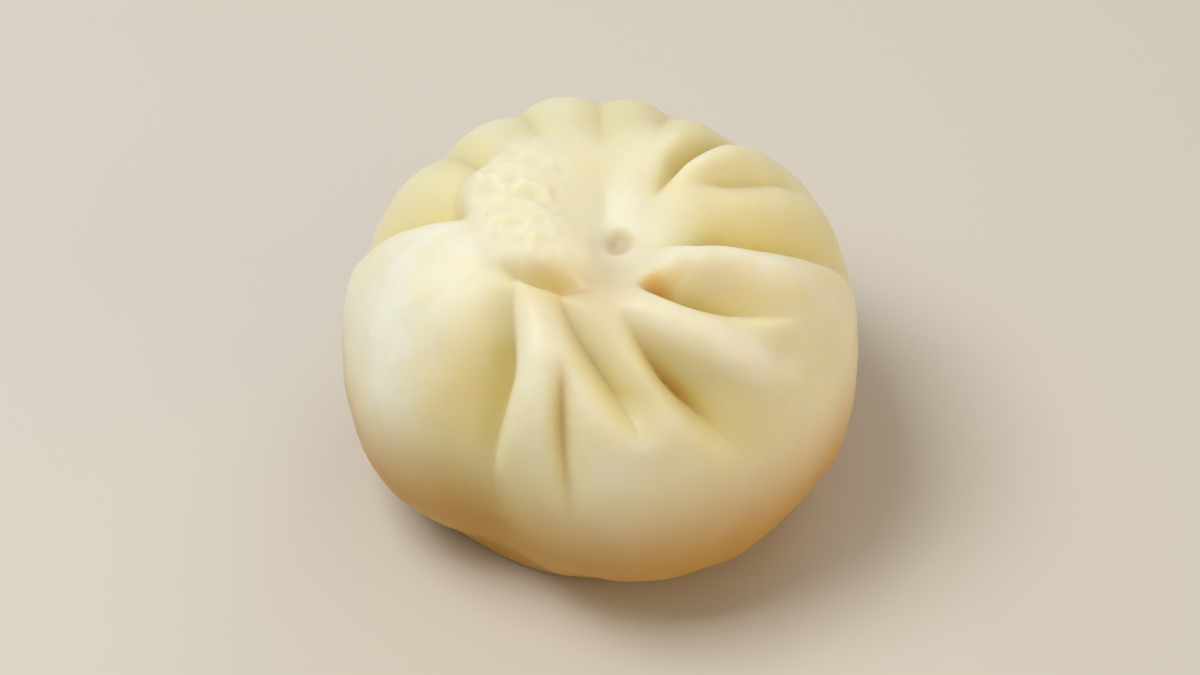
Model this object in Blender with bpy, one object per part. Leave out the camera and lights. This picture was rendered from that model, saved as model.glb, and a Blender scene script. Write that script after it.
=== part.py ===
"""A steamed xiaolongbao: one closed piece of dough, gathered into pleats that meet beside a folded flap.

The skin is a grid that runs from the gather on top, over the shoulder and the waist, to the flat foot.
Each place on it is named by the way round (degrees, 0 at +X and 90 at the back) and by the length of
skin from the gather (millimetres). Creases, ribs, lobes, dents and the flap raise or sink the skin along
its normal.
"""

from typing import NamedTuple

import bmesh
import bpy
import numpy as np

MM = 0.001

# Driving dimensions of the body, in millimetres.
WIDTH = 56.8
DEPTH = 58.0
HEIGHT = 41.5
WAIST_HEIGHT = 16.0
FOOT_RADIUS = 19.0
TOP_POWER = 2.25
FOOT_POWER = 2.3

# Where the gather sits: off the middle, in a shallow dip, with the back shoulder a little higher.
GATHER_X = 0.8
GATHER_Y = -4.6
DIP_DEPTH = 4.8
DIP_RADIUS = 9.0
BACK_RISE = 0.05


class Pleat(NamedTuple):
    """A crease that runs down from the gather, with a slope on each side of it."""

    upper: float  # way round where it begins, degrees
    middle: float  # way round where it is deepest
    lower: float  # way round where it has faded out
    start: float  # skin length where it begins
    peak: float  # skin length where it is deepest
    end: float  # skin length where it has faded out
    depth: float
    cw: float  # width of the slope on the clockwise side, seen from above
    ccw: float  # width of the slope on the other side
    step: float = 0.0  # how far the other side stands above the clockwise side


class Rib(NamedTuple):
    """A rounded rib of dough that runs beside a crease and turns with it."""

    upper: float
    middle: float
    lower: float
    start: float
    peak: float
    end: float
    height: float
    half_width: float


class Lobe(NamedTuple):
    """A rounded swelling of the dough between two creases, or with a negative height a broad hollow."""

    around: float
    along: float
    half_width: float
    half_length: float
    height: float


class Dent(NamedTuple):
    """A small hollow, or with a negative depth a knob, placed in plan from the middle of the gather."""

    x: float
    y: float
    turn: float
    half_length: float
    half_width: float
    depth: float


# In order round the dumpling, from the front left, over the front, the right and the back, to the left.
PLEATS = (
    Pleat(-152, -122, -116, 9.5, 22, 42, 3.4, 2.8, 1.2, 0.8),
    Pleat(-104, -101, -95, 17.5, 26.5, 44, 2.6, 0.9, 1.5, -0.3),
    Pleat(-128, -87, -80, 8.0, 23.5, 31, 4.4, 1.4, 2.4, -0.4),
    Pleat(-84, -67.5, -54, 12, 25.5, 38, 5.0, 1.2, 1.9, -1.2),
    Pleat(-70, -61, -24, 8.0, 11.5, 27, 5.2, 1.1, 1.8, -1.0),
    Pleat(-24, -11, 9, 5.0, 13, 44, 4.2, 1.6, 4.8, -1.2),
    Pleat(34, 26, 27, 8.0, 17, 36, 2.4, 3.0, 3.0, 0.0),
    Pleat(38, 52, 41, 5.5, 12.5, 40, 3.6, 1.1, 1.4, -0.6),
    Pleat(60, 69, 76, 8.0, 20, 40, 1.8, 3.4, 4.0, 0.0),
    Pleat(94, 92, 90, 8.0, 18, 42, 1.9, 4.4, 3.8, 0.0),
    Pleat(124, 116, 110, 10, 21, 38, 1.9, 3.4, 3.4, 0.0),
    Pleat(160, 143, 130, 9.0, 20, 40, 2.4, 3.4, 3.4, 0.0),
    Pleat(190, 173, 168, 9.5, 19, 50, 3.6, 5.2, 1.4, 1.0),
)

RIBS = (
    Rib(-170, -156, -138, 12, 24, 44, 0.9, 4.2),
    Rib(-80, -57, -26, 9.0, 20, 40, 1.8, 2.3),
    Rib(-26, -22, -8, 5.0, 13, 40, 0.9, 2.4),
    Rib(38, 39, 34, 6.0, 13, 30, 0.7, 1.9),
    Rib(14, 12, 16, 6.0, 16, 36, 0.5, 3.0),
    Rib(66, 62, 58, 5.0, 14, 36, 0.6, 2.4),
)

LOBES = (
    Lobe(-160, 22, 7.5, 11, 0.9),
    Lobe(-119, 49, 8.0, 13, -3.8),
    Lobe(-92, 54, 4.0, 9, -0.7),
    Lobe(-110, 19, 3.0, 8, 0.5),
    Lobe(-86, 31, 4.0, 9, 0.4),
    Lobe(104, 24, 12.0, 9, 0.9),
    Lobe(160, 24, 5.0, 8, 0.6),
    Lobe(54, 27, 5.0, 9, -1.2),
)

# The hollow before the flap, the fold beside the gather, the dimple and the open end of a crease.
DENTS = (
    Dent(-7.2, -6.2, -27, 4.2, 1.4, 2.2),
    Dent(1.8, 3.0, 85, 5.0, 2.4, -0.7),
    Dent(1.2, -0.9, 70, 1.6, 1.4, 1.0),
    Dent(5.4, -8.3, -10, 3.2, 1.3, 3.4),
)
DENT_POWER = 1.6

# How the creases lie on the skin.
CREASE_ROUND = 0.3
CREASE_BLEND = 2.5
OVERLAP_EDGE = 0.8
OVERLAP_REACH = 4.5
TIGHT_SHARE = 0.45
TIGHT_FROM = 5.0
TIGHT_TO = 18.0

# The pinched-off end of the dough, folded down beside the gather: an uneven dome that thins to the back.
FLAP_X = -7.8
FLAP_Y = 3.6
FLAP_TURN = 108.0
FLAP_HALF_LENGTH = 9.6
FLAP_HALF_WIDTH = 7.3
FLAP_EDGE = 0.22
FLAP_THICKNESS = 1.5
FLAP_THIN_TURN = 20.0
FLAP_THIN_SHARE = 0.85
FLAP_DOME = 0.75
FLAP_FILL = 0.55
FLAP_SHOWS = 0.25

# Grid of the skin: columns run along the long creases, closest together beside them and at the front.
COLUMNS = 126
RINGS = 47
RING_CROWDING = 1.15
COLUMN_CROWDING = 0.55
GUIDE_START = 15.0
FRONT_SHARE = 0.45
CURVE_STEPS = 400
FOOT_CALM = 4.0


def smooth(low, high, value):
    """Runs from 0 at low to 1 at high, with level ends."""
    share = np.clip((value - low) / (high - low), 0.0, 1.0)
    return share * share * (3.0 - 2.0 * share)


def profile(rings):
    """Skin length, share of the full radius and height of each ring, from the gather to the foot."""
    angle = np.linspace(0.5 * np.pi, 0.0, CURVE_STEPS)
    above_r = np.cos(angle) ** (2 / TOP_POWER)
    above_z = WAIST_HEIGHT + (HEIGHT - WAIST_HEIGHT) * np.sin(angle) ** (2 / TOP_POWER)
    foot_share = FOOT_RADIUS / (0.5 * WIDTH)
    drop = WAIST_HEIGHT / (1.0 - foot_share**FOOT_POWER) ** (1 / FOOT_POWER)
    below_r = np.cos(angle[::-1][1:]) ** (2 / FOOT_POWER)
    below_z = WAIST_HEIGHT - drop * np.sin(angle[::-1][1:]) ** (2 / FOOT_POWER)
    kept = below_z > 0.0
    share = np.concatenate([above_r, below_r[kept], [foot_share]])
    height = np.concatenate([above_z, below_z[kept], [0.0]])
    steps = np.hypot(np.diff(share) * 0.5 * WIDTH, np.diff(height))
    length = np.concatenate([[0.0], np.cumsum(steps)])
    spacing = np.linspace(0.0, 1.0, rings) ** RING_CROWDING
    along = length[-1] * spacing
    return along, np.interp(along, length, share), np.interp(along, length, height)


def dip(share):
    """How far the skin sinks round the gather."""
    return DIP_DEPTH * np.exp(-((0.5 * WIDTH * share / DIP_RADIUS) ** 2))


def body(around, along, share, height):
    """The plain body without pleats: points for each way round and each ring."""
    lean = 1.0 - smooth(0.0, along[np.argmax(share)], along)
    x = 0.5 * WIDTH * share * np.cos(around) + GATHER_X * lean
    y = 0.5 * DEPTH * share * np.sin(around) + GATHER_Y * lean
    rise = 1.0 + BACK_RISE * np.sin(around) * share * smooth(WAIST_HEIGHT, HEIGHT, height)
    return np.stack([x, y, height * rise - dip(share)], axis=-1)


def normals_of(points):
    """Unit normals of a grid whose columns go round and whose rings go down."""
    round_step = np.roll(points, -1, axis=0) - np.roll(points, 1, axis=0)
    down_step = np.gradient(points, axis=1)
    normals = np.cross(down_step, round_step)
    size = np.linalg.norm(normals, axis=-1, keepdims=True)
    up = np.array([0.0, 0.0, 1.0])
    return np.where(size > 1e-6, normals / np.maximum(size, 1e-6), up)


def turn_between(around, centre):
    """Signed angle from centre to around, the short way."""
    return (around - centre + np.pi) % (2.0 * np.pi) - np.pi


def path(line, along):
    """The way round of a crease or rib at each skin length, in radians, through its three places."""
    down = np.clip(along, line.start, line.end) - line.peak
    above = (line.middle - line.upper) / (line.peak - line.start)
    below = (line.lower - line.middle) / (line.end - line.peak)
    through = 2.0 * above * below / (above + below) if above * below > 0.0 else 0.0
    bend_above = (above - through) / (line.start - line.peak)
    bend_below = (below - through) / (line.end - line.peak)
    bend = np.where(down < 0.0, bend_above, bend_below)
    return np.radians(line.middle + down * (through + bend * down))


def fading(line, along):
    """1 where a crease or rib is strongest, falling to 0 at both of its ends."""
    return smooth(line.start, line.peak, along) * (1.0 - smooth(line.peak, line.end, along))


def pleat_relief(pleat, around, along, radius):
    """How deep one crease is, and how much its overlapping side stands up."""
    across = radius * turn_between(around, path(pleat, along))
    fade = fading(pleat, along)
    rounded = np.sqrt(across**2 + CREASE_ROUND**2) - CREASE_ROUND
    tight = TIGHT_SHARE + (1.0 - TIGHT_SHARE) * smooth(TIGHT_FROM, TIGHT_TO, along)
    slope = np.where(across < 0.0, pleat.cw, pleat.ccw) * tight
    groove = fade * pleat.depth * np.exp(-rounded / slope)
    overlap = fade * pleat.step * np.tanh(across / OVERLAP_EDGE) * np.exp(-rounded / OVERLAP_REACH)
    return groove, overlap


def pleat_height(around, along, radius):
    """All the creases together. Where grooves meet, the deeper one wins softly."""
    pairs = [pleat_relief(pleat, around, along, radius) for pleat in PLEATS]
    grooves = sum(groove**CREASE_BLEND for groove, _ in pairs) ** (1.0 / CREASE_BLEND)
    return sum(overlap for _, overlap in pairs) - grooves


def rib_height(rib, around, along, radius):
    across = radius * turn_between(around, path(rib, along)) / rib.half_width
    return rib.height * fading(rib, along) * np.exp(-(across**2))


def lobe_height(lobe, around, along, radius):
    across = radius * turn_between(around, np.radians(lobe.around)) / lobe.half_width
    down = (along - lobe.along) / lobe.half_length
    return lobe.height * np.exp(-(across**2) - down**2)


def dent_height(dent, points):
    turn = np.radians(dent.turn)
    x = points[..., 0] - GATHER_X - dent.x
    y = points[..., 1] - GATHER_Y - dent.y
    lengthwise = (x * np.cos(turn) + y * np.sin(turn)) / dent.half_length
    crosswise = (y * np.cos(turn) - x * np.sin(turn)) / dent.half_width
    return -dent.depth * np.exp(-((lengthwise**2 + crosswise**2) ** DENT_POWER))


def flap_height(points):
    """1 on the folded flap and 0 off it, its dome from 0 to 1, and how much of it is left as it thins."""
    turn = np.radians(FLAP_TURN)
    x = points[..., 0] - GATHER_X - FLAP_X
    y = points[..., 1] - GATHER_Y - FLAP_Y
    lengthwise = (x * np.cos(turn) + y * np.sin(turn)) / FLAP_HALF_LENGTH
    crosswise = (y * np.cos(turn) - x * np.sin(turn)) / FLAP_HALF_WIDTH
    way = np.arctan2(crosswise, lengthwise)
    uneven = 1.0 + 0.06 * np.sin(3.0 * way + 1.0) + 0.04 * np.sin(5.0 * way)
    reach = np.sqrt(lengthwise**2 + crosswise**2) * uneven
    thin = np.radians(FLAP_THIN_TURN)
    toward_thin = (x * np.cos(thin) + y * np.sin(thin)) / FLAP_HALF_LENGTH
    thinning = 1.0 - FLAP_THIN_SHARE * smooth(-0.4, 0.9, toward_thin)
    dome = 1.0 - FLAP_DOME * np.minimum(reach, 1.0 + FLAP_EDGE) ** 2
    return 1.0 - smooth(1.0 - FLAP_EDGE, 1.0 + FLAP_EDGE, reach), dome, thinning


def columns_round(columns, along):
    """The way round of every column at each ring. The long creases are guides, with columns between."""
    guides = [path(pleat, along) for pleat in PLEATS if pleat.start < GUIDE_START]
    guides.append(guides[0] + 2.0 * np.pi)
    low = np.array([guide[-1] for guide in guides])
    need = np.diff(low) * (1.0 - FRONT_SHARE * np.sin(0.5 * (low[1:] + low[:-1])))
    ends = np.round(columns * np.concatenate([[0.0], np.cumsum(need)]) / need.sum()).astype(int)
    between = []
    for first, last, count in zip(guides, guides[1:], np.diff(ends)):
        share = np.arange(count) / count
        share = share - COLUMN_CROWDING * np.sin(2.0 * np.pi * share) / (2.0 * np.pi)
        between.append(first + share[:, None] * (last - first))
    return np.concatenate(between)


def skin(columns, rings):
    """The finished surface as a grid of points, in millimetres."""
    along, share, height = profile(rings)
    around = columns_round(columns, along)
    points = body(around, along, share, height)
    radius = np.maximum(0.5 * WIDTH * share, CREASE_ROUND)
    relief = pleat_height(around, along, radius)
    relief = relief + sum(lobe_height(lobe, around, along, radius) for lobe in LOBES)
    relief = relief + sum(rib_height(rib, around, along, radius) for rib in RIBS)
    under_flap = relief + sum(dent_height(dent, points) for dent in DENTS)
    on_flap, dome, thinning = flap_height(points)
    flap = thinning * (FLAP_THICKNESS * dome + FLAP_FILL * dip(share)) + FLAP_SHOWS * relief
    relief = under_flap + on_flap * (flap - under_flap)
    relief = relief * (1.0 - smooth(along[-1] - FOOT_CALM, along[-1], along))
    return points + relief[..., None] * normals_of(points)


def mesh_of(points):
    """A closed mesh of the grid: a fan at the gather, triangles down the skin and one flat face under it."""
    columns, rings = points.shape[:2]
    made = bmesh.new()
    top = made.verts.new(points[:, 0].mean(axis=0) * MM)
    grid = [[made.verts.new(points[i, j] * MM) for j in range(1, rings)] for i in range(columns)]
    for i in range(columns):
        here, beside = grid[i], grid[(i + 1) % columns]
        made.faces.new((top, here[0], beside[0]))
        for j in range(rings - 2):
            made.faces.new((here[j], here[j + 1], beside[j + 1], beside[j]))
    bmesh.ops.triangulate(made, faces=made.faces[:], quad_method="SHORT_EDGE")
    made.faces.new([grid[i][-1] for i in reversed(range(columns))])
    mesh = bpy.data.meshes.new("dumpling")
    made.to_mesh(mesh)
    made.free()
    mesh.shade_smooth()
    return mesh


def dough():
    material = bpy.data.materials.new("dough")
    material.use_nodes = True
    surface = material.node_tree.nodes["Principled BSDF"]
    surface.inputs["Base Color"].default_value = (0.82, 0.74, 0.52, 1.0)
    surface.inputs["Roughness"].default_value = 0.42
    surface.inputs["Metallic"].default_value = 0.0
    return material


def centred(points):
    """Moves the foot onto Z = 0 with the bounding box's middle over the origin."""
    low, high = points.reshape(-1, 3).min(axis=0), points.reshape(-1, 3).max(axis=0)
    return points - np.array([0.5 * (low[0] + high[0]), 0.5 * (low[1] + high[1]), low[2]])


def main():
    for old in list(bpy.data.objects):
        bpy.data.objects.remove(old)
    mesh = mesh_of(centred(skin(COLUMNS, RINGS)))
    mesh.materials.append(dough())
    dumpling = bpy.data.objects.new("dumpling", mesh)
    bpy.context.scene.collection.objects.link(dumpling)


if __name__ == "__main__":
    main()
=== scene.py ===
# %% [markdown]
# # A steamed xiaolongbao
# A xiaolongbao is a round of thin wheat dough that is filled with meat and broth, gathered into pleats,
# twisted shut and steamed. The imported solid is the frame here: it has the right size and the main folds.
# This file makes the fine skin over it, and the soft, moist finish of dough that is cooked but not baked.

# %% The frame
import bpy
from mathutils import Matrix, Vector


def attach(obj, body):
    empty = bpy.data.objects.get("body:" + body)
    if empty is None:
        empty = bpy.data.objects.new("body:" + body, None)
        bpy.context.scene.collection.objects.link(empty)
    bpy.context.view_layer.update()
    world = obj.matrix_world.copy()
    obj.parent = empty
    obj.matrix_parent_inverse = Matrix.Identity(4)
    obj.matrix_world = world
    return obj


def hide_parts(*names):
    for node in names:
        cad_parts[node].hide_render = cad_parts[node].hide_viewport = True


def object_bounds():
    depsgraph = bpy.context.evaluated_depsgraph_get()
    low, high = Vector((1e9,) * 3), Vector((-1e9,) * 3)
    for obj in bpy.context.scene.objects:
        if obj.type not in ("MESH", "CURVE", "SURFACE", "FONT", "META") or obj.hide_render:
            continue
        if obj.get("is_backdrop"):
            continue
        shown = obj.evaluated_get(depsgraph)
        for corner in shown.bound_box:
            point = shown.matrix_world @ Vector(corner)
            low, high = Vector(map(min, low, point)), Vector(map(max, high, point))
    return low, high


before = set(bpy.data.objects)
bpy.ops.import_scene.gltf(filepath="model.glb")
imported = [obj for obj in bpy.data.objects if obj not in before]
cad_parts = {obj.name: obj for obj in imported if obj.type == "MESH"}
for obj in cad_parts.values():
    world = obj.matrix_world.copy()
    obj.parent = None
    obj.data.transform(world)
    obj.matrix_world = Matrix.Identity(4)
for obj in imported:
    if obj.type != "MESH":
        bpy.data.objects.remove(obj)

cad_box = [list(corner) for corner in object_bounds()]
print("solid model, in metres:", [[round(v, 4) for v in corner] for corner in cad_box])

# %% [markdown]
# ## Tools
# bmesh builds the mesh, numpy works on all the points of the skin at once, which is much quicker than a
# loop over single points, and mathutils has the noise that makes dough uneven.

# %% Tools
import math
from typing import NamedTuple

import bmesh
import bpy
import numpy as np
from mathutils import Vector, noise

MM = 0.001
print("Blender", bpy.app.version_string)

# %% [markdown]
# ## The body under the pleats
# Before any pleat, a dumpling is a soft, heavy ball that has settled on its foot. A sphere would be too
# tall and too round. A superellipse suits it better: its power says how full the shoulder is, and it has
# one power above the waist and another below, down to a flat foot. The gather leans to the front, and the
# skin sinks round it. Every place on the skin is named by the way round it and by the length of skin from
# the gather, as a tape laid on the dough would measure it.

# %% Sizes of the body, in millimetres
WIDTH = 56.8
DEPTH = 58.0
HEIGHT = 41.5
WAIST_HEIGHT = 16.0
FOOT_RADIUS = 19.0
TOP_POWER = 2.25
FOOT_POWER = 2.3

GATHER_X = 0.8
GATHER_Y = -4.6
DIP_DEPTH = 4.8
DIP_RADIUS = 9.0
BACK_RISE = 0.05

RING_CROWDING = 1.15
CURVE_STEPS = 400
print(f"body {WIDTH} x {DEPTH} x {HEIGHT} mm, foot {2 * FOOT_RADIUS:.0f} mm across")


# %% The plain body
def smooth(low, high, value):
    """Runs from 0 at low to 1 at high, with level ends."""
    share = np.clip((value - low) / (high - low), 0.0, 1.0)
    return share * share * (3.0 - 2.0 * share)


def profile(rings):
    """Skin length, share of the full radius and height of each ring, from the gather to the foot."""
    angle = np.linspace(0.5 * np.pi, 0.0, CURVE_STEPS)
    above_r = np.cos(angle) ** (2 / TOP_POWER)
    above_z = WAIST_HEIGHT + (HEIGHT - WAIST_HEIGHT) * np.sin(angle) ** (2 / TOP_POWER)
    foot_share = FOOT_RADIUS / (0.5 * WIDTH)
    drop = WAIST_HEIGHT / (1.0 - foot_share**FOOT_POWER) ** (1 / FOOT_POWER)
    below_r = np.cos(angle[::-1][1:]) ** (2 / FOOT_POWER)
    below_z = WAIST_HEIGHT - drop * np.sin(angle[::-1][1:]) ** (2 / FOOT_POWER)
    kept = below_z > 0.0
    share = np.concatenate([above_r, below_r[kept], [foot_share]])
    height = np.concatenate([above_z, below_z[kept], [0.0]])
    steps = np.hypot(np.diff(share) * 0.5 * WIDTH, np.diff(height))
    length = np.concatenate([[0.0], np.cumsum(steps)])
    spacing = np.linspace(0.0, 1.0, rings) ** RING_CROWDING
    along = length[-1] * spacing
    return along, np.interp(along, length, share), np.interp(along, length, height)


def dip(share):
    """How far the skin sinks round the gather."""
    return DIP_DEPTH * np.exp(-((0.5 * WIDTH * share / DIP_RADIUS) ** 2))


def body(around, along, share, height):
    """The plain body without pleats: points for each way round and each ring."""
    lean = 1.0 - smooth(0.0, along[np.argmax(share)], along)
    x = 0.5 * WIDTH * share * np.cos(around) + GATHER_X * lean
    y = 0.5 * DEPTH * share * np.sin(around) + GATHER_Y * lean
    rise = 1.0 + BACK_RISE * np.sin(around) * share * smooth(WAIST_HEIGHT, HEIGHT, height)
    return np.stack([x, y, height * rise - dip(share)], axis=-1)


def normals_of(points):
    """Unit normals of a grid whose columns go round and whose rings go down."""
    round_step = np.roll(points, -1, axis=0) - np.roll(points, 1, axis=0)
    down_step = np.gradient(points, axis=1)
    normals = np.cross(down_step, round_step)
    size = np.linalg.norm(normals, axis=-1, keepdims=True)
    up = np.array([0.0, 0.0, 1.0])
    return np.where(size > 1e-6, normals / np.maximum(size, 1e-6), up)


print(f"skin from the gather to the foot: {profile(50)[0][-1]:.1f} mm")

# %% [markdown]
# ## The pleats
# A pleat is dough folded over itself. What shows is a crease with one steep wall, where the upper layer
# ends, and one long slope, where the lower layer comes out from under it. The creases turn as they near
# the gather, because the dumpling is turned while it is pinched shut. Each crease is a curve through
# three places, with a depth and the width of its two slopes. The numbers are read off, one row for each
# crease, in order round the dumpling.


# %% The creases
class Pleat(NamedTuple):
    """A crease that runs down from the gather, with a slope on each side of it."""

    upper: float  # way round where it begins, degrees
    middle: float  # way round where it is deepest
    lower: float  # way round where it has faded out
    start: float  # skin length where it begins
    peak: float  # skin length where it is deepest
    end: float  # skin length where it has faded out
    depth: float
    cw: float  # width of the slope on the clockwise side, seen from above
    ccw: float  # width of the slope on the other side
    step: float = 0.0  # how far the other side stands above the clockwise side


# from the front left, round by the right and the back
PLEATS = (
    Pleat(-152, -118, -116, 9.5, 25, 42, 3.8, 2.4, 1.0, 0.8),
    Pleat(-104, -101, -95, 17.5, 26.5, 44, 1.9, 0.7, 1.1, -0.3),
    Pleat(-128, -87, -80, 8.0, 23.5, 31, 3.6, 1.3, 2.2, -0.4),
    Pleat(-84, -67.5, -54, 12, 25.5, 38, 5.0, 1.2, 1.9, -1.2),
    Pleat(-65, -58, -23, 8.5, 11.0, 27, 6.4, 1.2, 1.8, -0.8),
    Pleat(-24, -11, 9, 5.0, 13, 44, 4.2, 1.6, 4.8, -1.2),
    Pleat(34, 26, 27, 8.0, 17, 36, 2.4, 3.0, 3.0, 0.0),
    Pleat(38, 47.5, 40, 5.5, 12.5, 40, 3.0, 1.0, 0.9, -0.6),
    Pleat(60, 69, 76, 8.0, 20, 40, 1.8, 3.4, 4.0, 0.0),
    Pleat(94, 92, 90, 8.0, 18, 42, 1.9, 4.4, 3.8, 0.0),
    Pleat(124, 116, 110, 10, 21, 38, 1.9, 3.4, 3.4, 0.0),
    Pleat(160, 143, 130, 9.0, 20, 40, 2.4, 3.4, 3.4, 0.0),
    Pleat(190, 173, 168, 9.5, 19, 50, 3.6, 5.2, 1.4, 1.0),
)
print(len(PLEATS), "creases, the deepest", max(pleat.depth for pleat in PLEATS), "mm")

# %% How the creases lie on the skin
CREASE_ROUND = 0.3  # how round the bottom of a crease is
CREASE_BLEND = 2.5  # the higher, the less two creases add up where they meet
OVERLAP_EDGE = 0.8
OVERLAP_REACH = 4.5
TIGHT_SHARE = 0.45  # width of a crease near the gather, as a share of its width further down
TIGHT_FROM = 5.0
TIGHT_TO = 18.0


def turn_between(around, centre):
    """Signed angle from centre to around, the short way."""
    return (around - centre + np.pi) % (2.0 * np.pi) - np.pi


def path(line, along):
    """The way round of a crease or rib at each skin length, in radians: a curve through its three places."""
    down = np.clip(along, line.start, line.end) - line.peak
    above = (line.middle - line.upper) / (line.peak - line.start)
    below = (line.lower - line.middle) / (line.end - line.peak)
    through = 2.0 * above * below / (above + below) if above * below > 0.0 else 0.0
    bend_above = (above - through) / (line.start - line.peak)
    bend_below = (below - through) / (line.end - line.peak)
    bend = np.where(down < 0.0, bend_above, bend_below)
    return np.radians(line.middle + down * (through + bend * down))


def fading(line, along):
    """1 where a crease or rib is strongest, falling to 0 at both of its ends."""
    return smooth(line.start, line.peak, along) * (1.0 - smooth(line.peak, line.end, along))


def pleat_relief(pleat, around, along, radius):
    """How deep one crease is, and how much its overlapping side stands up."""
    across = radius * turn_between(around, path(pleat, along))
    fade = fading(pleat, along)
    rounded = np.sqrt(across**2 + CREASE_ROUND**2) - CREASE_ROUND
    tight = TIGHT_SHARE + (1.0 - TIGHT_SHARE) * smooth(TIGHT_FROM, TIGHT_TO, along)
    slope = np.where(across < 0.0, pleat.cw, pleat.ccw) * tight
    groove = fade * pleat.depth * np.exp(-rounded / slope)
    overlap = fade * pleat.step * np.tanh(across / OVERLAP_EDGE) * np.exp(-rounded / OVERLAP_REACH)
    return groove, overlap


def pleat_height(around, along, radius):
    """All the creases together. Where grooves meet, the deeper one wins softly."""
    pairs = [pleat_relief(pleat, around, along, radius) for pleat in PLEATS]
    grooves = sum(groove**CREASE_BLEND for groove, _ in pairs) ** (1.0 / CREASE_BLEND)
    return sum(overlap for _, overlap in pairs) - grooves


print(f"a crease near the gather is {TIGHT_SHARE:.0%} as wide as one {TIGHT_TO:.0f} mm down")

# %% [markdown]
# ## Swellings, ribs and hollows
# Between two creases the filling pushes the dough out, more in one place than in another, so a few broad
# swellings are laid on the skin. A negative height makes a broad hollow in the same way. Beside some
# creases the folded edge stands up as a rounded rib, which turns with the crease, so a rib is a curve
# through three places too. The small hollows and the knob where the pleats meet are placed in plan,
# because round the very middle the way round changes too fast to be a good measure.


# %% Swellings, ribs and hollows
class Lobe(NamedTuple):
    """A rounded swelling of the dough between two creases."""

    around: float  # way round of its middle, degrees
    along: float  # skin length of its middle
    half_width: float
    half_length: float
    height: float


class Rib(NamedTuple):
    """A rounded rib of dough that runs beside a crease and turns with it."""

    upper: float  # its three places are named as those of a crease
    middle: float
    lower: float
    start: float
    peak: float
    end: float
    height: float
    half_width: float


class Dent(NamedTuple):
    """A small hollow, or with a negative depth a knob, placed in plan from the middle of the gather."""

    x: float
    y: float
    turn: float  # degrees from X to its long side
    half_length: float
    half_width: float
    depth: float


LOBES = (
    Lobe(-160, 22, 7.5, 11, 0.9),
    Lobe(-119, 49, 8.0, 13, -3.8),
    Lobe(-92, 54, 4.0, 9, -0.7),
    Lobe(-110, 19, 3.0, 8, 0.5),
    Lobe(-86, 31, 4.0, 9, 0.4),
    Lobe(104, 24, 12.0, 9, 0.9),
    Lobe(160, 24, 5.0, 8, 0.6),
    Lobe(54, 27, 5.0, 9, -1.2),
)

RIBS = (
    Rib(-170, -156, -138, 12, 24, 44, 0.9, 4.2),
    Rib(-80, -57, -26, 9.0, 20, 40, 1.7, 2.9),
    Rib(-26, -22, -8, 5.0, 13, 40, 0.9, 2.4),
    Rib(38, 39, 34, 6.0, 13, 30, 0.7, 1.9),
    Rib(14, 12, 16, 6.0, 16, 36, 0.5, 3.0),
    Rib(64, 61, 58, 5.0, 15, 36, 1.0, 2.5),
)

DENTS = (
    Dent(-6.8, -7.8, -24, 4.0, 1.2, 2.2),
    Dent(1.8, 3.0, 85, 5.0, 2.4, -0.7),
    Dent(1.2, -0.9, 70, 1.6, 1.4, 1.0),
)
DENT_POWER = 1.3  # above 1, a hollow has a flatter floor and a steeper wall


def lobe_height(lobe, around, along, radius):
    """How high one swelling stands."""
    across = radius * turn_between(around, np.radians(lobe.around)) / lobe.half_width
    down = (along - lobe.along) / lobe.half_length
    return lobe.height * np.exp(-(across**2) - down**2)


def rib_height(rib, around, along, radius):
    """How high one rib stands."""
    across = radius * turn_between(around, path(rib, along)) / rib.half_width
    return rib.height * fading(rib, along) * np.exp(-(across**2))


def dent_height(dent, points):
    """How high one knob stands, below 0 in a hollow."""
    turn = np.radians(dent.turn)
    x = points[..., 0] - GATHER_X - dent.x
    y = points[..., 1] - GATHER_Y - dent.y
    lengthwise = (x * np.cos(turn) + y * np.sin(turn)) / dent.half_length
    crosswise = (y * np.cos(turn) - x * np.sin(turn)) / dent.half_width
    return -dent.depth * np.exp(-((lengthwise**2 + crosswise**2) ** DENT_POWER))


print(len(LOBES), "swellings,", len(RIBS), "ribs and", len(DENTS), "small hollows or knobs")

# %% [markdown]
# ## The folded flap
# The last pinch of dough is not cut off. It is pressed down beside the gather and swells into a thick
# dome. Its edge stands out on the left and at the front, and fades towards the gather, where it comes out
# of the pleats. An ellipse seen from above is enough for it, if two slow waves make its edge uneven.

# %% The flap
FLAP_X = -7.8
FLAP_Y = 2.9
FLAP_TURN = 108.0
FLAP_HALF_LENGTH = 10.3
FLAP_HALF_WIDTH = 7.3
FLAP_EDGE = 0.22
FLAP_THREE_WAVES = 0.06
FLAP_FIVE_WAVES = 0.04
FLAP_THICKNESS = 1.5
FLAP_THIN_TURN = 20.0
FLAP_THIN_SHARE = 0.85
FLAP_THIN_FROM = -0.4
FLAP_THIN_TO = 0.9
FLAP_DOME = 0.75
FLAP_FILL = 0.55  # share of the dip round the gather that it fills up
FLAP_SHOWS = 0.25  # share of the folds under it that still shows


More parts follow.
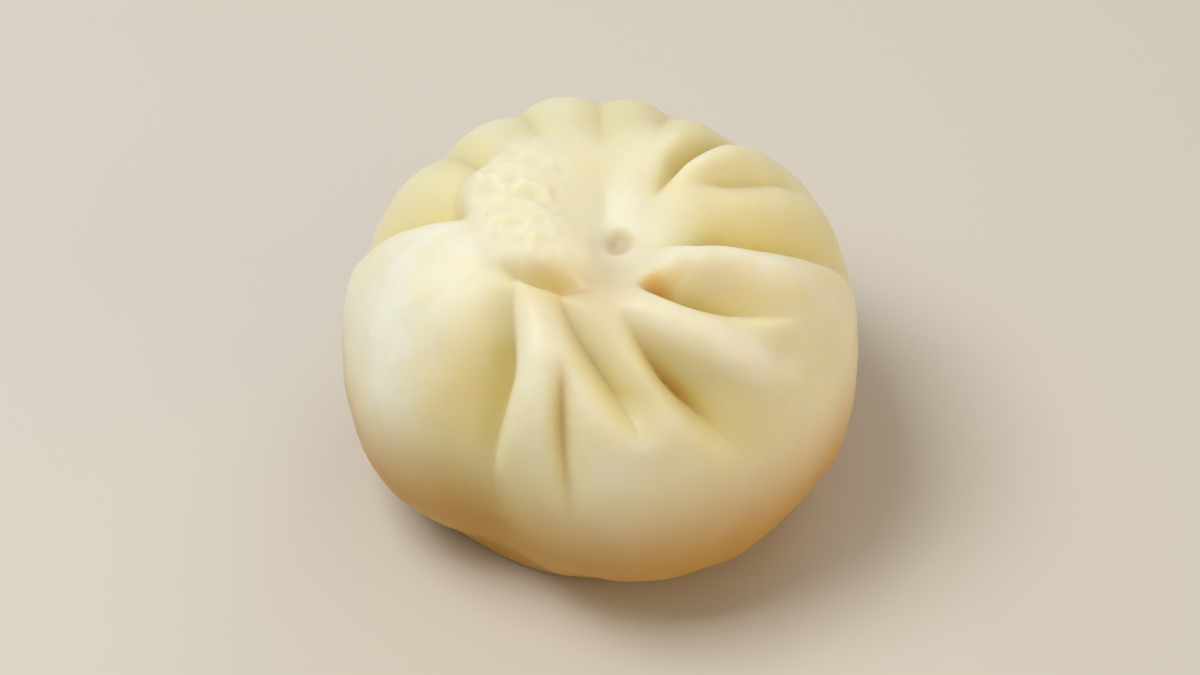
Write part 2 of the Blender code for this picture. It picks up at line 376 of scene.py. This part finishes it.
def flap_height(points):
    """1 on the folded flap and 0 off it, its dome from 0 to 1, and how much of it is left as it thins."""
    turn = np.radians(FLAP_TURN)
    x = points[..., 0] - GATHER_X - FLAP_X
    y = points[..., 1] - GATHER_Y - FLAP_Y
    lengthwise = (x * np.cos(turn) + y * np.sin(turn)) / FLAP_HALF_LENGTH
    crosswise = (y * np.cos(turn) - x * np.sin(turn)) / FLAP_HALF_WIDTH
    way = np.arctan2(crosswise, lengthwise)
    uneven = 1.0 + FLAP_THREE_WAVES * np.sin(3.0 * way + 1.0) + FLAP_FIVE_WAVES * np.sin(5.0 * way)
    reach = np.sqrt(lengthwise**2 + crosswise**2) * uneven
    thin = np.radians(FLAP_THIN_TURN)
    toward_thin = (x * np.cos(thin) + y * np.sin(thin)) / FLAP_HALF_LENGTH
    thinning = 1.0 - FLAP_THIN_SHARE * smooth(FLAP_THIN_FROM, FLAP_THIN_TO, toward_thin)
    dome = 1.0 - FLAP_DOME * np.minimum(reach, 1.0 + FLAP_EDGE) ** 2
    return 1.0 - smooth(1.0 - FLAP_EDGE, 1.0 + FLAP_EDGE, reach), dome, thinning


print(f"flap {2 * FLAP_HALF_LENGTH:.0f} x {2 * FLAP_HALF_WIDTH:.0f} mm")

# %% [markdown]
# ## The grid of the skin
# If the columns of the grid ran straight down, every turning crease would cross them and show as saw
# teeth. So the long creases are the guides: a column lies in the bottom of each, and the others share
# the dough between two creases, closest together beside the creases, where the skin bends most. The front
# has more columns than the back, because its folds are finer.

# %% Columns that follow the creases
COLUMN_CROWDING = 0.55
GUIDE_START = 15.0  # a crease that begins further down than this is no guide
FRONT_SHARE = 0.45


def columns_round(columns, along):
    """The way round of every column at each ring. The long creases are guides, with columns between."""
    guides = [path(pleat, along) for pleat in PLEATS if pleat.start < GUIDE_START]
    guides.append(guides[0] + 2.0 * np.pi)
    low = np.array([guide[-1] for guide in guides])
    need = np.diff(low) * (1.0 - FRONT_SHARE * np.sin(0.5 * (low[1:] + low[:-1])))
    ends = np.round(columns * np.concatenate([[0.0], np.cumsum(need)]) / need.sum()).astype(int)
    between = []
    for first, last, count in zip(guides, guides[1:], np.diff(ends)):
        share = np.arange(count) / count
        share = share - COLUMN_CROWDING * np.sin(2.0 * np.pi * share) / (2.0 * np.pi)
        between.append(first + share[:, None] * (last - first))
    return np.concatenate(between)


print(sum(pleat.start < GUIDE_START for pleat in PLEATS), "of the creases are guides")

# %% [markdown]
# ## Fine relief
# Steamed dough is never as smooth as a formula. It has a slow unevenness from the rolling, lumps on the
# flap, where the dough was pinched, and faint little wrinkles round the gather. Noise gives the first
# two. The wrinkles are a wave that runs round the gather and fades a centimetre out.

# %% Noise and wrinkles
FOOT_CALM = 4.0
ROLLING_SIZE = 11.0
ROLLING = 0.40
DIMPLE_SIZE = 4.2
DIMPLES = 0.20
LUMP_SIZE = 1.7
LUMPS = 0.46
CRUMB_SIZE = 1.1
CRUMBS = 0.28
LUMPS_FADE = (-8.0, -2.0)  # X between which the lumps of the flap fade out
WRINKLES = 26
WRINKLE_HEIGHT = 0.02
WRINKLES_RISE = (2.0, 5.0)  # skin lengths between which they rise, and fade again
WRINKLES_FADE = (7.0, 13.0)
WRINKLE_SWAY = 6.0
WRINKLE_SWAY_SIZE = 4.0
WRINKLE_GAP_SIZE = 3.1


def grain(points, size):
    """Smooth noise from -1 to 1, whose bumps are about size millimetres apart."""
    flat = (points / size).reshape(-1, 3)
    return np.array([noise.noise(place) for place in flat]).reshape(points.shape[:-1])


def fine_relief(points, around, along, on_flap):
    """What the plain shapes leave out, in millimetres along the normal."""
    rolling = ROLLING * grain(points, ROLLING_SIZE) + DIMPLES * grain(points, DIMPLE_SIZE)
    left = 1.0 - smooth(*LUMPS_FADE, points[..., 0])
    lumps = on_flap * left * (LUMPS * grain(points, LUMP_SIZE) + CRUMBS * grain(points, CRUMB_SIZE))
    window = smooth(*WRINKLES_RISE, along) * (1.0 - smooth(*WRINKLES_FADE, along)) * (1.0 - on_flap)
    wave = np.sin(WRINKLES * around + WRINKLE_SWAY * grain(points, WRINKLE_SWAY_SIZE))
    wave = wave * smooth(-0.5, 0.5, grain(points, WRINKLE_GAP_SIZE))
    return rolling + lumps + WRINKLE_HEIGHT * window * wave


print(f"rolled unevenness {ROLLING} mm, lumps on the flap {LUMPS} mm")

# %% [markdown]
# ## What the finish needs to know
# Cooked dough is not one colour, and its colour here also carries painted light and shade. The ribs that
# stand proud get a nearly white painted highlight, a hollow gets yellow painted shade, a narrow crease
# golden painted shade, and the deepest pits amber painted shade. A picture laid over the skin could show
# that from one side only. Most of it follows from the relief itself, so it is worked out here and kept on
# the points, where the finish can read it. A few spots of painted shade that no rule of shape gives are
# placed one by one, in plan, from the middle of the gather.

# %% What the finish needs to know
SUNK_FULL = 4.0  # depths and heights in millimetres
PROUD_FROM = -0.8
PROUD_TO = 1.0
CORE_FROM = 3.2
CORE_TO = 6.0
CORE_SHARE = 0.5
NARROW_FROM = 0.05
NARROW_TO = 1.1
NARROW_SHARE = 0.4
NEAR_COLUMNS = 7  # how many steps of the grid count as near
NEAR_RINGS = 6


class ShadeSpot(NamedTuple):
    """A round spot of painted shade; the table it stands in gives its colour."""

    x: float
    y: float
    reach: float
    share: float


# spots of tan painted shade in hollows at the front of the gather
TAN_SHADE_SPOTS = (
    ShadeSpot(-2.5, -8.0, 5.5, 0.95),
    ShadeSpot(1.2, -0.9, 1.9, 0.8),
    ShadeSpot(10.5, -7.2, 3.4, 0.5),
)
# a spot of amber painted shade at the tip of the front pit
PIT_SHADE_SPOTS = (
    ShadeSpot(5.1, -8.1, 1.2, 0.8),
)
# spots of golden painted shade in creases and valleys
GOLDEN_SHADE_SPOTS = (
    ShadeSpot(-5.6, -7.6, 2.8, 0.95),
    ShadeSpot(6.3, 6.2, 1.5, 0.35),
    ShadeSpot(7.7, 8.8, 1.9, 0.2),
    ShadeSpot(-15.4, -16.8, 4.2, 0.4),
    ShadeSpot(-12.0, -14.8, 1.8, 0.5),
)


def spots_at(shade_spots, points):
    """How strongly the nearest of the spots of painted shade shows at each point."""
    shown = np.zeros(points.shape[:-1])
    for shade_spot in shade_spots:
        away = np.hypot(points[..., 0] - GATHER_X - shade_spot.x, points[..., 1] - GATHER_Y - shade_spot.y)
        shown = np.maximum(shown, shade_spot.share * np.exp(-((away / shade_spot.reach) ** 2)))
    return shown


def nearby_mean(values, reach, axis):
    """The mean of each value and its neighbours along one axis of the grid, whose columns form a ring."""
    if axis == 0:
        wide = np.concatenate([values[-reach:], values, values[:reach]], axis=0)
    else:
        wide = np.pad(values, ((0, 0), (reach, reach)), mode="edge")
    count, steps = values.shape[axis], 2 * reach + 1
    return sum(np.take(wide, range(step, step + count), axis=axis) for step in range(steps)) / steps


# where golden painted shade goes
def narrow_hollow(relief):
    """1 at the bottom of a narrow crease or pit, 0 on open skin and in wide valleys."""
    around_it = nearby_mean(nearby_mean(relief, NEAR_COLUMNS, 0), NEAR_RINGS, 1)
    return smooth(NARROW_FROM, NARROW_TO, around_it - relief)


print(len(TAN_SHADE_SPOTS), "thin spots,", len(GOLDEN_SHADE_SPOTS), "golden and", len(PIT_SHADE_SPOTS), "pit_shade")

# %% [markdown]
# ## The skin
# Now everything is laid on the plain body. Each relief is a height in millimetres, and the sum of them
# moves every point along its normal. The flap covers what lies under it, so there its own height takes
# over. Close to the foot the relief fades out, and the dumpling stands flat.


# %% The skin
def skin(columns, rings, fine):
    """The surface as a grid of points, in millimetres, and what the finish needs to know of them."""
    along, share, height = profile(rings)
    around = columns_round(columns, along)
    points = body(around, along, share, height)
    radius = np.maximum(0.5 * WIDTH * share, CREASE_ROUND)
    relief = pleat_height(around, along, radius)
    relief = relief + sum(lobe_height(lobe, around, along, radius) for lobe in LOBES)
    relief = relief + sum(rib_height(rib, around, along, radius) for rib in RIBS)
    under_flap = relief + sum(dent_height(dent, points) for dent in DENTS)
    on_flap, dome, thinning = flap_height(points)
    flap = thinning * (FLAP_THICKNESS * dome + FLAP_FILL * dip(share)) + FLAP_SHOWS * relief
    relief = under_flap + on_flap * (flap - under_flap)
    off_flap = 1.0 - on_flap
    # amber painted shade in the deepest hollows
    core = CORE_SHARE * smooth(CORE_FROM, CORE_TO, -relief)
    # golden painted shade in narrow creases and pits
    narrow = NARROW_SHARE * narrow_hollow(relief)
    known = {
        "flap": on_flap,
        # where yellow painted shade goes: the deeper the hollow, the more
        "sunk": np.clip(-relief / SUNK_FULL, 0.0, 1.0),
        # where the nearly white painted highlight goes: what stands proud
        "proud": smooth(PROUD_FROM, PROUD_TO, relief),
        # spots of tan painted shade, kept off the flap
        "thin": spots_at(TAN_SHADE_SPOTS, points) * off_flap,
        # golden painted shade in narrow creases and in spots
        "golden": np.maximum(narrow, spots_at(GOLDEN_SHADE_SPOTS, points) * off_flap),
        # amber painted shade in the deepest pits and in one spot
        "pit_shade": np.maximum(core, spots_at(PIT_SHADE_SPOTS, points) * off_flap),
    }
    if fine:
        relief = relief + fine_relief(points, around, along, on_flap)
    relief = relief * (1.0 - smooth(along[-1] - FOOT_CALM, along[-1], along))
    return points + relief[..., None] * normals_of(points), known


def place_of(points):
    """What moves the foot onto Z = 0 with the bounding box's middle over the origin."""
    low, high = points.reshape(-1, 3).min(axis=0), points.reshape(-1, 3).max(axis=0)
    return -np.array([0.5 * (low[0] + high[0]), 0.5 * (low[1] + high[1]), low[2]])


print("skin of", len(LOBES) + len(RIBS) + len(DENTS), "swellings, ribs and dents and", len(PLEATS), "creases")

# %% [markdown]
# ## The mesh
# The solid model has few faces, and its place is found from its own grid. The same grid with many more
# columns and rings, and with the fine relief, is then put in that place. What the finish needs to know
# of each point is stored on the mesh as attributes, one number for each point.

# %% The dumpling's mesh
SOLID_GRID = (126, 47)
FINE_GRID = (400, 224)


def mesh_of(points):
    """A closed mesh of the grid: a fan at the gather, quads down the skin and one flat face under it."""
    columns, rings = points.shape[:2]
    made = bmesh.new()
    top = made.verts.new(points[:, 0].mean(axis=0) * MM)
    grid = [[made.verts.new(points[i, j] * MM) for j in range(1, rings)] for i in range(columns)]
    for i in range(columns):
        here, beside = grid[i], grid[(i + 1) % columns]
        made.faces.new((top, here[0], beside[0]))
        for j in range(rings - 2):
            made.faces.new((here[j], here[j + 1], beside[j + 1], beside[j]))
    made.faces.new([grid[i][-1] for i in reversed(range(columns))])
    mesh = bpy.data.meshes.new("dumpling_skin")
    made.to_mesh(mesh)
    made.free()
    mesh.shade_smooth()
    return mesh


def store(mesh, name, values):
    """Keeps one number for each point of the grid, in the order in which mesh_of made the points."""
    kept = mesh.attributes.new(name, "FLOAT", "POINT")
    kept.data.foreach_set("value", np.concatenate([[values[:, 0].mean()], values[:, 1:].ravel()]))


coarse, _ = skin(*SOLID_GRID, fine=False)
points, known = skin(*FINE_GRID, fine=True)
skin_mesh = mesh_of(points + place_of(coarse))
for name, values in known.items():
    store(skin_mesh, name, values)
dumpling_skin = bpy.data.objects.new("dumpling_skin", skin_mesh)
bpy.context.scene.collection.objects.link(dumpling_skin)
print(len(skin_mesh.vertices), "points,", sum(len(f.vertices) - 2 for f in skin_mesh.polygons), "triangles")

# %% The dumpling stands for its solid
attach(dumpling_skin, "root")
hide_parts("dumpling")

# %% [markdown]
# ## Writing a finish as arithmetic
# A finish in Blender is a graph of nodes. Written out node by node it is long and hard to read, so one
# small class wraps the output of a node and lets Python's own signs add the Math nodes. Colours do not go
# through Math nodes, which would turn them grey: they are blended with Mix.


# %% A wire that does arithmetic
class Wire:
    """The output of a shader node."""

    def __init__(self, tree, socket):
        self.tree = tree
        self.socket = socket

    @staticmethod
    def node(tree, kind, settings=None, values=None, output=0):
        """Adds a node: its settings are set first, then the values or links of its inputs."""
        made = tree.nodes.new(kind)
        for name, setting in (settings or {}).items():
            setattr(made, name, setting)
        for name, value in (values or {}).items():
            if isinstance(value, Wire):
                tree.links.new(value.socket, made.inputs[name])
            else:
                made.inputs[name].default_value = value
        return Wire(tree, made.outputs[output])

    def math(self, operation, first, second):
        return Wire.node(self.tree, "ShaderNodeMath", {"operation": operation}, {0: first, 1: second})

    def __add__(self, other):
        return self.math("ADD", self, other)

    __radd__ = __add__

    def __sub__(self, other):
        return self.math("SUBTRACT", self, other)

    def __rsub__(self, other):
        return self.math("SUBTRACT", other, self)

    def __mul__(self, other):
        return self.math("MULTIPLY", self, other)

    __rmul__ = __mul__

    def between(self, low, high):
        """0 below low, 1 above high and smooth in between."""
        values = {"Value": self, "From Min": low, "From Max": high}
        return Wire.node(self.tree, "ShaderNodeMapRange", {"interpolation_type": "SMOOTHSTEP"}, values)


def blend(share, first, second):
    """The first colour where share is 0, the second where it is 1."""
    values = {0: share, 6: first, 7: second}
    return Wire.node(share.tree, "ShaderNodeMix", {"data_type": "RGBA"}, values, output=2)


print("Wire ready")

# %% [markdown]
# ## Steamed dough
# Cooked dough is pale cream and lets light in, so a crease glows yellow where a painted surface would
# turn grey. Three things together give that look: subsurface scattering, which is the light that travels
# under the skin, yellow painted shade where the dough is folded, and a moist coat over it. Down at the
# foot the colour runs out into amber brown, which is painted shade and painted warm bounced light.

# %% Colours of the dough
CREAM = (0.84, 0.78, 0.52, 1.0)
# nearly white painted highlight for the ribs that stand proud
HIGHLIGHT_PALE = (0.92, 0.90, 0.80, 1.0)
# yellow painted shade for the hollows
YELLOW_SHADE = (0.76, 0.64, 0.16, 1.0)
# golden painted shade for narrow creases
HONEY_SHADE = (0.75, 0.56, 0.16, 1.0)
# tan painted shade for spots in hollows
TAN_SHADE = (0.70, 0.58, 0.37, 1.0)
# amber painted shade for the deepest pits
AMBER_SHADE = (0.80, 0.46, 0.08, 1.0)
# amber brown painted shade and painted warm bounced light for the foot
FOOT_SHADE = (0.56, 0.29, 0.04, 1.0)
print("cream", CREAM[:3], "crease", YELLOW_SHADE[:3])

# %% [markdown]
# ## From the points to a colour
# The colours are laid over each other like thin washes: a nearly white painted highlight on what stands
# proud, yellow painted shade in the hollows, tan and golden spots of painted shade, amber painted shade
# in the pits, and amber brown painted shade at the foot. Each wash has a share, which is how much of it
# covers what is there. Two noises break the painted highlight up into patches.

# %% Shares and sizes of the finish
# shares of the painted highlight, broken up by two noises
WHITE_EVERYWHERE = 0.42
WHITE_PATCHES = 0.36
WHITE_MOTTLING = 0.22
FLAP_LESS_WHITE = 0.5
PATCHES = 130.0  # features to the metre
MOTTLING = 420.0
# shares of the yellow painted shade, with more of it at the foot
SUNK_SHARE = 0.50
SUNK_LOW_SHARE = 0.45  # so much more of it at the foot
# share and heights of the painted shade and warm bounced light at the foot
FOOT_SHADE_SHARE = 0.95
FOOT_SHADE_FULL = 0.009  # height in metres up to which it is strongest
FOOT_SHADE_END = 0.025

ROUGHNESS = 0.54
FLAP_ROUGHER = 0.08
ROUGHNESS_SPREAD = 0.10
COAT = 0.10
FLAP_LESS_COAT = 0.04
COAT_ROUGHNESS = 0.30
SCATTER_RADIUS = (1.0, 0.80, 0.42)  # red light travels furthest under the skin
SCATTER_SCALE = 0.0035
PORES = 700.0
BLISTERS = 260.0
BLISTER_SHARE = 0.6
PORE_STRENGTH = 0.22
PORE_DEPTH = 0.0003
print(f"light travels {1000 * SCATTER_SCALE} mm under the skin")

# %% The dough's finish
dough = bpy.data.materials.new("steamed_dough")
dough.use_nodes = True
tree = dough.node_tree
surface = tree.nodes["Principled BSDF"]

# output 3 of Texture Coordinate is the object's own, output 2 of Separate XYZ is Z
place = Wire.node(tree, "ShaderNodeTexCoord", output=3)
height_up = Wire.node(tree, "ShaderNodeSeparateXYZ", values={"Vector": place}, output=2)


def stored(name):
    """One of the numbers that the skin keeps on its points, which is output 2 of an Attribute node."""
    return Wire.node(tree, "ShaderNodeAttribute", {"attribute_name": name}, output=2)


def speckle(scale, detail=2.0):
    """Noise from 0 to 1 with this many features to the metre."""
    values = {"Vector": place, "Scale": scale, "Detail": detail}
    return Wire.node(tree, "ShaderNodeTexNoise", values=values)


flap_here = stored("flap")
patches = speckle(PATCHES).between(0.35, 0.65)
mottling = speckle(MOTTLING, 3.0).between(0.30, 0.70)
highlight_share = WHITE_EVERYWHERE + WHITE_PATCHES * patches + WHITE_MOTTLING * mottling
# where the foot's painted shade and warm bounced light go
low_down = 1.0 - height_up.between(FOOT_SHADE_FULL, FOOT_SHADE_END)

# painted highlight: nearly white on what stands proud, less of it on the flap
colour = blend(stored("proud") * (1.0 - FLAP_LESS_WHITE * flap_here) * highlight_share, CREAM, HIGHLIGHT_PALE)
# painted shade: yellow in the hollows, more of it near the foot
colour = blend(stored("sunk") * (SUNK_SHARE + SUNK_LOW_SHARE * low_down), colour, YELLOW_SHADE)
# painted shade: tan spots in hollows
colour = blend(stored("thin"), colour, TAN_SHADE)
# painted shade: golden in narrow creases and spots
colour = blend(stored("golden"), colour, HONEY_SHADE)
# painted shade: amber in the deepest pits
colour = blend(stored("pit_shade"), colour, AMBER_SHADE)
# painted shade and painted warm bounced light: amber brown at the foot
colour = blend(low_down * FOOT_SHADE_SHARE, colour, FOOT_SHADE)
tree.links.new(colour.socket, surface.inputs["Base Color"])

rough = ROUGHNESS + FLAP_ROUGHER * flap_here + ROUGHNESS_SPREAD * (speckle(MOTTLING) - 0.5)
tree.links.new(rough.socket, surface.inputs["Roughness"])
coat = COAT - FLAP_LESS_COAT * flap_here
tree.links.new(coat.socket, surface.inputs["Coat Weight"])
surface.inputs["Coat Roughness"].default_value = COAT_ROUGHNESS
surface.inputs["Subsurface Weight"].default_value = 1.0
surface.inputs["Subsurface Radius"].default_value = SCATTER_RADIUS
surface.inputs["Subsurface Scale"].default_value = SCATTER_SCALE

pores = speckle(PORES, 3.0) + BLISTER_SHARE * speckle(BLISTERS)
relief_values = {"Strength": PORE_STRENGTH, "Distance": PORE_DEPTH, "Height": pores}
bump = Wire.node(tree, "ShaderNodeBump", values=relief_values)
tree.links.new(bump.socket, surface.inputs["Normal"])
skin_mesh.materials.append(dough)
print(len(tree.nodes), "nodes in the dough")

# %% [markdown]
# ## The stage
# A plain pale floor and soft light keep the eye on the dough. The main light stands high on the left, so
# the ribs cast gentle shade into the creases on their right. A warm one from low on the right brings out
# the amber of the foot, a faint one lifts the back, and an even sky fills the rest. Area lights give soft
# shadows, and the larger they are, the softer.

# %% Floor
FLOOR_SIDE = 3.0
FLOOR_COLOUR = (0.71, 0.67, 0.61, 1.0)
FLOOR_ROUGHNESS = 0.8
floor_mesh = bpy.data.meshes.new("floor")
made = bmesh.new()
bmesh.ops.create_grid(made, x_segments=1, y_segments=1, size=0.5 * FLOOR_SIDE)
made.to_mesh(floor_mesh)
made.free()
floor = bpy.data.objects.new("floor", floor_mesh)
bpy.context.scene.collection.objects.link(floor)
floor_paint = bpy.data.materials.new("pale_floor")
floor_paint.use_nodes = True
floor_surface = floor_paint.node_tree.nodes["Principled BSDF"]
floor_surface.inputs["Base Color"].default_value = FLOOR_COLOUR
floor_surface.inputs["Roughness"].default_value = FLOOR_ROUGHNESS
floor_mesh.materials.append(floor_paint)
floor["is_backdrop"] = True
print("floor", FLOOR_SIDE, "m")


# %% Lights
def soft_light(name, place, side, watts, tint):
    """Adds a square area light that looks at the dumpling."""
    lamp = bpy.data.lights.new(name, "AREA")
    lamp.size = side
    lamp.energy = watts
    lamp.color = tint
    held = bpy.data.objects.new(name, lamp)
    held.location = place
    held.rotation_mode = "QUATERNION"
    held.rotation_quaternion = Vector(place).to_track_quat("Z", "Y")
    bpy.context.scene.collection.objects.link(held)


soft_light("main", (-0.22, -0.02, 0.45), 0.26, 1.54, (1.0, 1.0, 0.98))
soft_light("warm_fill", (0.46, -0.28, 0.08), 0.60, 1.50, (1.0, 0.70, 0.30))
soft_light("back_fill", (0.22, 0.34, 0.30), 0.30, 0.35, (1.0, 1.0, 0.98))

SKY_COLOUR = (1.0, 0.99, 0.90, 1.0)
SKY_STRENGTH = 0.30
sky = bpy.data.worlds.new("sky")
sky.use_nodes = True
sky.node_tree.nodes["Background"].inputs["Color"].default_value = SKY_COLOUR
sky.node_tree.nodes["Background"].inputs["Strength"].default_value = SKY_STRENGTH
bpy.context.scene.world = sky
bpy.context.scene.view_settings.view_transform = "Standard"

# %% [markdown]
# ## The camera
# The dumpling is seen from well above the front, where the pleats show best. A long lens from further
# away keeps its sides nearly parallel, where a short one close by would swell the middle.

# %% Camera
TILT = math.radians(44.5)
LENS = 135.0
DISTANCE = 0.4933
AIM = Vector((0.0, 0.0, 0.0175))
camera_data = bpy.data.cameras.new("camera")
camera_data.lens = LENS
camera = bpy.data.objects.new("camera", camera_data)
toward_camera = Vector((0.0, -math.cos(TILT), math.sin(TILT)))
camera.location = AIM + DISTANCE * toward_camera
camera.rotation_mode = "QUATERNION"
camera.rotation_quaternion = toward_camera.to_track_quat("Z", "Y")
bpy.context.scene.collection.objects.link(camera)
bpy.context.scene.camera = camera
print("camera at", [round(v, 3) for v in camera.location])

# %% [markdown]
# ## Sizes
# The fine skin must not grow out of the solid model, so the boxes of both are measured in the same frame
# and written down side by side.

# %% Compare the boxes
visual_box = [list(corner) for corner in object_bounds()]
for axis, low, high, cad_low, cad_high in zip("XYZ", *visual_box, *cad_box):
    print(axis, f"{1000 * (high - low):.2f} mm, solid {1000 * (cad_high - cad_low):.2f} mm")
